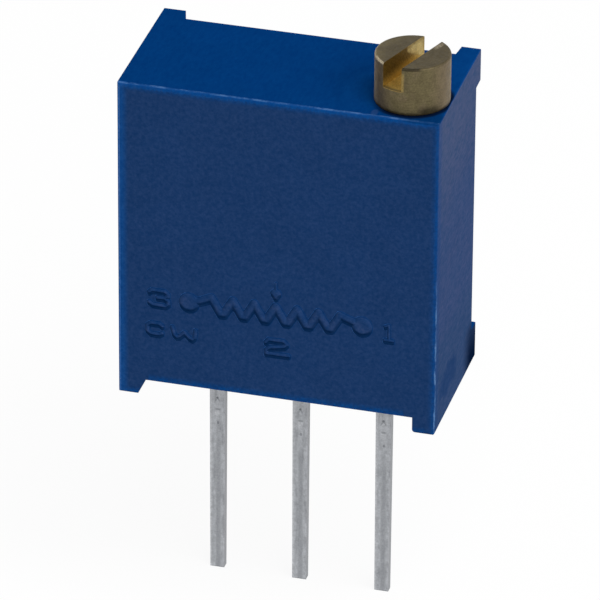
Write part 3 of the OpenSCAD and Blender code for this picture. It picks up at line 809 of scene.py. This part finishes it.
def cut_brass(f, settings, at, speck):
    """Golden brass where the slot was cut, with painted shade on its upper wall and a painted reflection at its
    far end.
    """
    # Painted shade darkens the upper part of the slot's wall
    golden = f.ramp(f.plus(at.down, f.times(at.along, 0.12)), 0.26, 0.68)
    cut = f.blend(golden, settings.shade_and_speck_color, settings.slot_color)
    # Painted reflection at the far end of the slot's wall
    wedge = f.plus(at.down, f.times(at.along, -0.55))
    bright = f.both(
        f.ramp(at.along, 0.12, 0.24),
        f.ramp(wedge, 0.12, 0.02),
        f.ramp(at.along, 0.85, 1.05, 1.0, 0.35),
        f.ramp(at.down, 0.02, 0.16, 0.45, 1.0),
        f.ramp(f.noise(5.0, 4.0, 0.7), 0.3, 0.6, 0.65, 1.0),
    )
    cut = f.blend(bright, cut, settings.bright_color)
    cut = f.blend(f.ramp(speck, 0.45, 0.7, 0.0, 0.4), cut, settings.shade_and_speck_color)
    cut = f.shade(cut, speck, 0.75, 1.3)
    floor = f.ramp(f.facing[2], 0.5, 0.8)
    worn = f.both(floor, f.ramp(at.along, -0.3, -0.7))
    cut = f.blend(f.times(worn, 0.08), cut, settings.shade_and_speck_color)
    ragged = f.both(
        f.ramp(at.radius, HEAD_R - 0.17, HEAD_R - 0.05),
        floor,
        f.ramp(at.along, 0.0, -0.5),
        f.ramp(speck, 0.3, 0.6, 0.4, 1.0),
    )
    return f.blend(ragged, cut, settings.brass_color)


def screw_finish(settings):
    """Turned brass, dulled outside and bright where the slot was cut, with painted sheen, highlights, reflections
    and shadows on it.
    """
    f = Finish("turned_brass")
    at = places_on_screw(f, settings)
    mottle = f.noise(2.2, 4.0, 0.6)
    speck = f.noise(19.0, 4.0, 0.75)
    scratch = f.noise(9.0, 3.0, 0.6)
    ring_scale = 22.0
    turned = f.join(f.times(at.radius, ring_scale), 0.0, f.times(f.z, ring_scale))
    rings = f.noise(1.0, 2.0, 0.5, at=turned)

    color = dulled_brass(f, settings, at, mottle, rings)
    color = handled_head(f, settings, at, color, mottle, speck)
    slot_depth = settings.slot_depth / MM
    slot = f.both(
        f.near(at.across, 0.0, settings.slot_width / 2 / MM + 0.001, 0.002),
        f.ramp(at.down, slot_depth + 0.012, slot_depth + 0.004),
    )
    color = f.blend(slot, color, cut_brass(f, settings, at, speck))
    inner = f.ramp(f.z, SEAT_Z + 0.01, SEAT_Z - 0.06)
    color = f.blend(inner, color, settings.thread_color)
    f.set(
        Base_Color=f.shade(color, speck, 0.78, 1.22),
        Metallic=f.either(f.times(slot, 0.85), f.times(inner, 0.9), 0.45),
        Roughness=f.ramp(scratch, 0.3, 0.7, 0.36, 0.58),
        Specular_IOR_Level=0.05,
        Normal=f.bump(f.plus(rings, f.times(scratch, 0.7)), settings.ring_depth),
    )
    return f


def press_marks(f, dx, drop):
    """The chevron and dots that the press leaves on a terminal, a painted shadow along the top of its round
    dimple, and the dimple.
    """
    slope = f.plus(drop, f.times(f.math("ABSOLUTE", dx), -1.5))
    legs = f.both(f.near(slope, 0.02, 0.01, 0.055), f.near(dx, 0.0, 0.055, 0.05))
    chevron = f.either(f.times(legs, 0.6), f.spot(dx, drop, (0.0, 0.015), (0.04, 0.04)))
    # Painted shadow along the top of the dimple
    lip_shadow = f.spot(dx, drop, (0.01, 0.405), (0.08, 0.035))
    dimple = f.spot(dx, drop, (0.0, 0.53), (0.09, 0.11))
    first_dot = f.spot(dx, drop, (0.02, 0.86), (0.04, 0.05))
    second_dot = f.spot(dx, drop, (0.09, 1.06), (0.03, 0.06))
    dots = f.either(first_dot, f.times(second_dot, 0.45))
    return f.either(chevron, f.times(lip_shadow, 0.6), f.times(dots, 0.7)), dimple


def terminal_finish(settings, node_name):
    """Tinned strip with the press's marks under the housing and a dull streak down its middle."""
    f = Finish(node_name + "_tin")
    low, high = (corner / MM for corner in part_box(node_name))
    dx = f.minus(f.x, (low.x + high.x) / 2)
    drop = f.minus(HOUSING_LOW.z / MM - settings.mark_drop / MM, f.z)
    faced = f.ramp(f.math("ABSOLUTE", f.facing[1]), 0.5, 0.8)
    drawn = f.noise(1.0, 4.0, 0.6, at=f.scaled(f.place, (7.0, 7.0, 1.4)))
    mottle = f.noise(7.0, 4.0, 0.6)
    fine = f.noise(22.0, 3.0, 0.7)

    color = f.blend(f.ramp(drawn, 0.42, 0.7, 0.0, 0.75), settings.tin_color, settings.dull_color)
    streak = f.both(
        faced,
        f.near(dx, 0.03, 0.02, 0.1),
        f.ramp(drop, 0.9, 1.8),
        f.ramp(mottle, 0.35, 0.6, 0.3, 0.9),
    )
    color = f.blend(streak, color, settings.dull_color)
    corner = f.both(faced, f.ramp(dx, -0.15, -0.2))
    color = f.blend(f.times(corner, 0.5), color, settings.bright_color)
    color = f.blend(f.minus(1.0, faced), color, settings.dull_color)

    # The press's marks, with the painted shadow along the top of the dimple
    soiled, dimple = (f.both(faced, mark) for mark in press_marks(f, dx, drop))
    color = f.blend(f.times(dimple, 0.5), color, settings.bright_color)
    color = f.blend(f.times(soiled, 0.8), color, settings.pressed_color)
    color = f.shade(color, mottle, 0.84, 1.16)
    color = f.shade(color, fine, 0.88, 1.12)
    tip = f.ramp(f.z, low.z + 0.03, low.z + 0.005, 0.0, 0.4)
    pressed_in = f.bump(f.either(soiled, dimple), -settings.press_depth)
    f.set(
        Base_Color=f.blend(tip, color, settings.pressed_color),
        Metallic=0.7,
        Roughness=f.ramp(mottle, 0.3, 0.7, 0.34, 0.5),
        Normal=f.bump(f.plus(drawn, f.times(mottle, 0.5)), settings.grain_depth, pressed_in),
    )
    return f


def plain_metal(name, color, scale, darkest, palest, rough, depth, stretch=(1.0, 1.0, 1.0)):
    """Metal with a stretched or even grain, for the smaller pieces."""
    f = Finish(name)
    grain = f.noise(scale, 4.0, 0.6, at=f.scaled(f.place, stretch))
    f.set(
        Base_Color=f.shade(color, grain, darkest, palest),
        Metallic=1.0,
        Roughness=f.ramp(grain, 0.3, 0.7, rough - ROUGH_SPREAD, rough + ROUGH_SPREAD),
        Normal=f.bump(grain, depth),
    )
    return f


def plain_solid(name, color, cloud_color, scale, rough, depth, shine=0.3):
    """A matt solid with clouds of a second colour and a fine surface."""
    f = Finish(name)
    clouds = f.noise(scale, 4.0, 0.6)
    fine = f.noise(scale * 8, 3.0, 0.6)
    tone = f.blend(f.ramp(clouds, 0.4, 0.7, 0.0, 0.7), color, cloud_color)
    f.set(
        Base_Color=f.shade(tone, fine, 0.92, 1.08),
        Roughness=f.ramp(fine, 0.3, 0.7, rough - ROUGH_SPREAD, rough + ROUGH_SPREAD),
        Specular_IOR_Level=shine,
        Normal=f.bump(fine, depth),
    )
    return f


# ---- Studio ----


def light_path_share(nodes):
    """1 for rays from the camera and rays that mirror or pass through, and 0 for the rest."""
    path = nodes.node("ShaderNodeLightPath")
    total = path.outputs["Is Camera Ray"]
    for name in ("Is Glossy Ray", "Is Transmission Ray"):
        rays = path.outputs[name]
        total = nodes.node("ShaderNodeMath", total, rays, operation="ADD", use_clamp=True).outputs[0]
    return total


def round_direction(turn, rise):
    """Unit vector towards what stands turn round to the right and rise above the horizon."""
    return Vector((math.sin(turn) * math.cos(rise), -math.cos(turn) * math.cos(rise), math.sin(rise)))


def looking_from(back, tilt=0.0):
    """Rotation of a camera or lamp that looks along the opposite of back."""
    right = Vector((0.0, 0.0, 1.0)).cross(back).normalized()
    up = back.cross(right)
    leaning = Matrix((right, up, back)).transposed()
    return leaning @ Matrix.Rotation(tilt, 3, "Z")


def make_camera(settings):
    aim = Vector((settings.aim_right, HOUSING_LOW.y, HOUSING_LOW.z + settings.aim_up))
    back = round_direction(settings.turn, settings.rise)
    data = bpy.data.cameras.new("camera")
    data.lens = settings.lens
    data.sensor_width = 36.0
    data.clip_start = 0.01
    data.clip_end = 10.0
    camera = new_object("camera", data)
    turned = looking_from(back, settings.tilt).to_4x4()
    camera.matrix_world = Matrix.Translation(aim + back * settings.distance) @ turned
    bpy.context.scene.camera = camera


def make_key_light(settings):
    data = bpy.data.lights.new("key_light", "AREA")
    data.shape = "DISK"
    data.size = settings.key_size
    data.energy = settings.key_power
    lamp = new_object("key_light", data)
    back = round_direction(settings.key_turn, settings.key_rise)
    lamp.matrix_world = Matrix.Translation(back * settings.key_distance) @ looking_from(back).to_4x4()
    lamp.visible_camera = False


def make_surround(settings):
    """Even light from all round, which shows as white behind the object."""
    world = bpy.data.worlds.new("studio")
    bpy.context.scene.world = world
    world.use_nodes = True
    nodes = Nodes(world.node_tree)
    ambient = nodes.node("ShaderNodeBackground", WHITE, settings.surround).outputs[0]
    white = nodes.node("ShaderNodeBackground", WHITE, 1.0).outputs[0]
    mix = nodes.node("ShaderNodeMixShader", light_path_share(nodes), ambient, white)
    nodes.node("ShaderNodeOutputWorld", mix.outputs[0])


def floor_finish(settings):
    """Pale floor that shows as white, keeps a soft shadow and throws back a plain light."""
    material = bpy.data.materials.new("studio_floor")
    material.use_nodes = True
    nodes = Nodes(material.node_tree)
    plain = nodes.node("ShaderNodeBsdfDiffuse", (settings.floor_tone,) * 3).outputs[0]
    shadowed = nodes.node("ShaderNodeBsdfDiffuse", (settings.shadow_depth,) * 3).outputs[0]
    lit_share = 0.9
    glow = nodes.node("ShaderNodeEmission", WHITE, 1.0 - lit_share * settings.shadow_depth).outputs[0]
    seen = nodes.node("ShaderNodeAddShader", shadowed, glow).outputs[0]
    white = nodes.node("ShaderNodeEmission", WHITE, 1.0).outputs[0]
    place = nodes.node("ShaderNodeTexCoord").outputs["Object"]
    away = nodes.node("ShaderNodeVectorMath", place, operation="LENGTH").outputs["Value"]
    fade_from, fade_to = 0.03, 0.15
    fade = nodes.node("ShaderNodeMapRange", away, fade_from, fade_to).outputs[0]
    faded = nodes.node("ShaderNodeMixShader", fade, seen, white).outputs[0]
    mix = nodes.node("ShaderNodeMixShader", light_path_share(nodes), plain, faded)
    nodes.node("ShaderNodeOutputMaterial", mix.outputs[0])
    return material


def make_floor(settings):
    """A round floor that the terminals' ends stand on."""
    radius, sides = 1.5, 96
    ring = [
        (radius * math.cos(2 * math.pi * i / sides), radius * math.sin(2 * math.pi * i / sides), 0.0)
        for i in range(sides)
    ]
    mesh = bpy.data.meshes.new("studio_floor")
    mesh.from_pydata(ring, [], [tuple(range(sides))])
    floor = new_object("studio_floor", mesh)
    floor.location.z = TERMINAL_LOW.z
    mesh.materials.append(floor_finish(settings))


# ---- Operators ----


class TRIMMER_OT_stage(bpy.types.Operator):
    """Makes the camera, the lights and the floor"""

    bl_idname = "trimmer.stage"
    bl_label = "Studio"

    def execute(self, context):
        settings = context.scene.trimmer_stage
        context.scene.view_settings.view_transform = "Standard"
        make_camera(settings)
        make_key_light(settings)
        make_surround(settings)
        make_floor(settings)
        return {"FINISHED"}


class TRIMMER_OT_housing(bpy.types.Operator):
    """Finishes the moulded housing and raises the generic marks on its front"""

    bl_idname = "trimmer.housing"
    bl_label = "Housing and marks"

    def execute(self, context):
        finish = housing_finish(context.scene.trimmer_housing)
        wear("housing", finish)
        settings = context.scene.trimmer_marks
        marks = figure_strokes(settings.figure_stroke / MM)
        marks["mark_resistor"] = resistor_strokes(settings)
        for name, strokes in marks.items():
            mark = relief(name, strokes, settings)
            mark.data.materials.append(finish.material)
            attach(mark, "root")
        return {"FINISHED"}


class TRIMMER_OT_screw(bpy.types.Operator):
    """Finishes the brass adjusting screw with its sealing ring and retaining pin"""

    bl_idname = "trimmer.screw"
    bl_label = "Adjusting screw"

    def execute(self, context):
        inside = context.scene.trimmer_inside
        wear("adjusting_screw", screw_finish(context.scene.trimmer_screw))
        rubber = plain_solid(
            "sealing_rubber", inside.rubber_color, inside.rubber_clouds,
            scale=4.0, rough=0.6, depth=0.003 * MM,
        )
        wear("screw_seal_ring", rubber)
        steel = plain_metal(
            "drawn_steel", inside.steel_color, scale=5.0, darkest=0.85, palest=1.15,
            rough=0.32, depth=0.002 * MM, stretch=(4.0, 0.4, 4.0),
        )
        wear("screw_retaining_pin", steel)
        return {"FINISHED"}


class TRIMMER_OT_terminals(bpy.types.Operator):
    """Finishes the three terminals and their solder"""

    bl_idname = "trimmer.terminals"
    bl_label = "Terminals and solder"

    def execute(self, context):
        settings = context.scene.trimmer_terminals
        inside = context.scene.trimmer_inside
        solder = plain_metal(
            "satin_solder", inside.solder_color, scale=5.0, darkest=0.8, palest=1.15,
            rough=0.3, depth=0.006 * MM,
        )
        for i in (1, 2, 3):
            name = f"terminal_{i}"
            wear(name, terminal_finish(settings, name))
            wear(f"solder_joint_{i}", solder)
        return {"FINISHED"}


class TRIMMER_OT_seal(bpy.types.Operator):
    """Finishes the cast seal in the back"""

    bl_idname = "trimmer.seal"
    bl_label = "Back seal"

    def execute(self, context):
        inside = context.scene.trimmer_inside
        epoxy = plain_solid(
            "cast_epoxy", inside.seal_color, inside.seal_clouds,
            scale=1.1, rough=0.4, depth=0.01 * MM, shine=0.35,
        )
        wear("back_seal", epoxy)
        return {"FINISHED"}


class TRIMMER_OT_gear(bpy.types.Operator):
    """Finishes the gear and the wiper it carries"""

    bl_idname = "trimmer.gear"
    bl_label = "Gear and wiper"

    def execute(self, context):
        inside = context.scene.trimmer_inside
        plastic = plain_solid(
            "gear_plastic", inside.gear_color, inside.gear_clouds,
            scale=1.3, rough=0.45, depth=0.002 * MM,
        )
        wear("wiper_gear", plastic)
        alloy = plain_metal(
            "rolled_alloy", inside.spring_color, scale=3.0, darkest=0.88, palest=1.12,
            rough=0.26, depth=0.001 * MM, stretch=(0.5, 8.0, 8.0),
        )
        wear("wiper_spring", alloy)
        return {"FINISHED"}


class TRIMMER_OT_element(bpy.types.Operator):
    """Finishes the ceramic with its printed track and conductors"""

    bl_idname = "trimmer.element"
    bl_label = "Printed element"

    def execute(self, context):
        inside = context.scene.trimmer_inside
        alumina = plain_solid(
            "alumina_plate", inside.ceramic_color, inside.ceramic_clouds,
            scale=2.0, rough=0.5, depth=0.003 * MM,
        )
        wear("ceramic_substrate", alumina)
        track = plain_solid(
            "fired_track", inside.track_color, inside.track_clouds,
            scale=6.0, rough=0.35, depth=0.002 * MM, shine=0.5,
        )
        wear("resistive_track", track)
        silver = plain_metal(
            "fired_silver", inside.silver_color, scale=9.0, darkest=0.85, palest=1.1,
            rough=0.42, depth=0.002 * MM,
        )
        for name in ("collector", "end_pad_left", "end_pad_right"):
            wear(name, silver)
        return {"FINISHED"}


OPERATORS = (
    TRIMMER_OT_stage,
    TRIMMER_OT_housing,
    TRIMMER_OT_screw,
    TRIMMER_OT_terminals,
    TRIMMER_OT_seal,
    TRIMMER_OT_gear,
    TRIMMER_OT_element,
)


class TRIMMER_PT_panel(bpy.types.Panel):
    """Lists the trimmer's pieces and their settings"""

    bl_idname = "TRIMMER_PT_panel"
    bl_label = "Trimmer"
    bl_space_type = "VIEW_3D"
    bl_region_type = "UI"
    bl_category = "Trimmer"

    def draw(self, context):
        for operator in OPERATORS:
            self.layout.operator(operator.bl_idname)
        for name, group in SETTINGS.items():
            box = self.layout.box()
            box.label(text=group.__name__.replace("Settings", ""))
            for key in group.__annotations__:
                box.prop(getattr(context.scene, name), key)


def register():
    for group in SETTINGS.values():
        bpy.utils.register_class(group)
    for name, group in SETTINGS.items():
        setattr(bpy.types.Scene, name, bpy.props.PointerProperty(type=group))
    for operator in OPERATORS:
        bpy.utils.register_class(operator)
    bpy.utils.register_class(TRIMMER_PT_panel)


def unregister():
    bpy.utils.unregister_class(TRIMMER_PT_panel)
    for operator in reversed(OPERATORS):
        bpy.utils.unregister_class(operator)
    for name in SETTINGS:
        delattr(bpy.types.Scene, name)
    for group in reversed(SETTINGS.values()):
        bpy.utils.unregister_class(group)


def main():
    register()
    for operator in OPERATORS:
        group, name = operator.bl_idname.split(".")
        getattr(getattr(bpy.ops, group), name)()


if __name__ == "__main__":
    main()
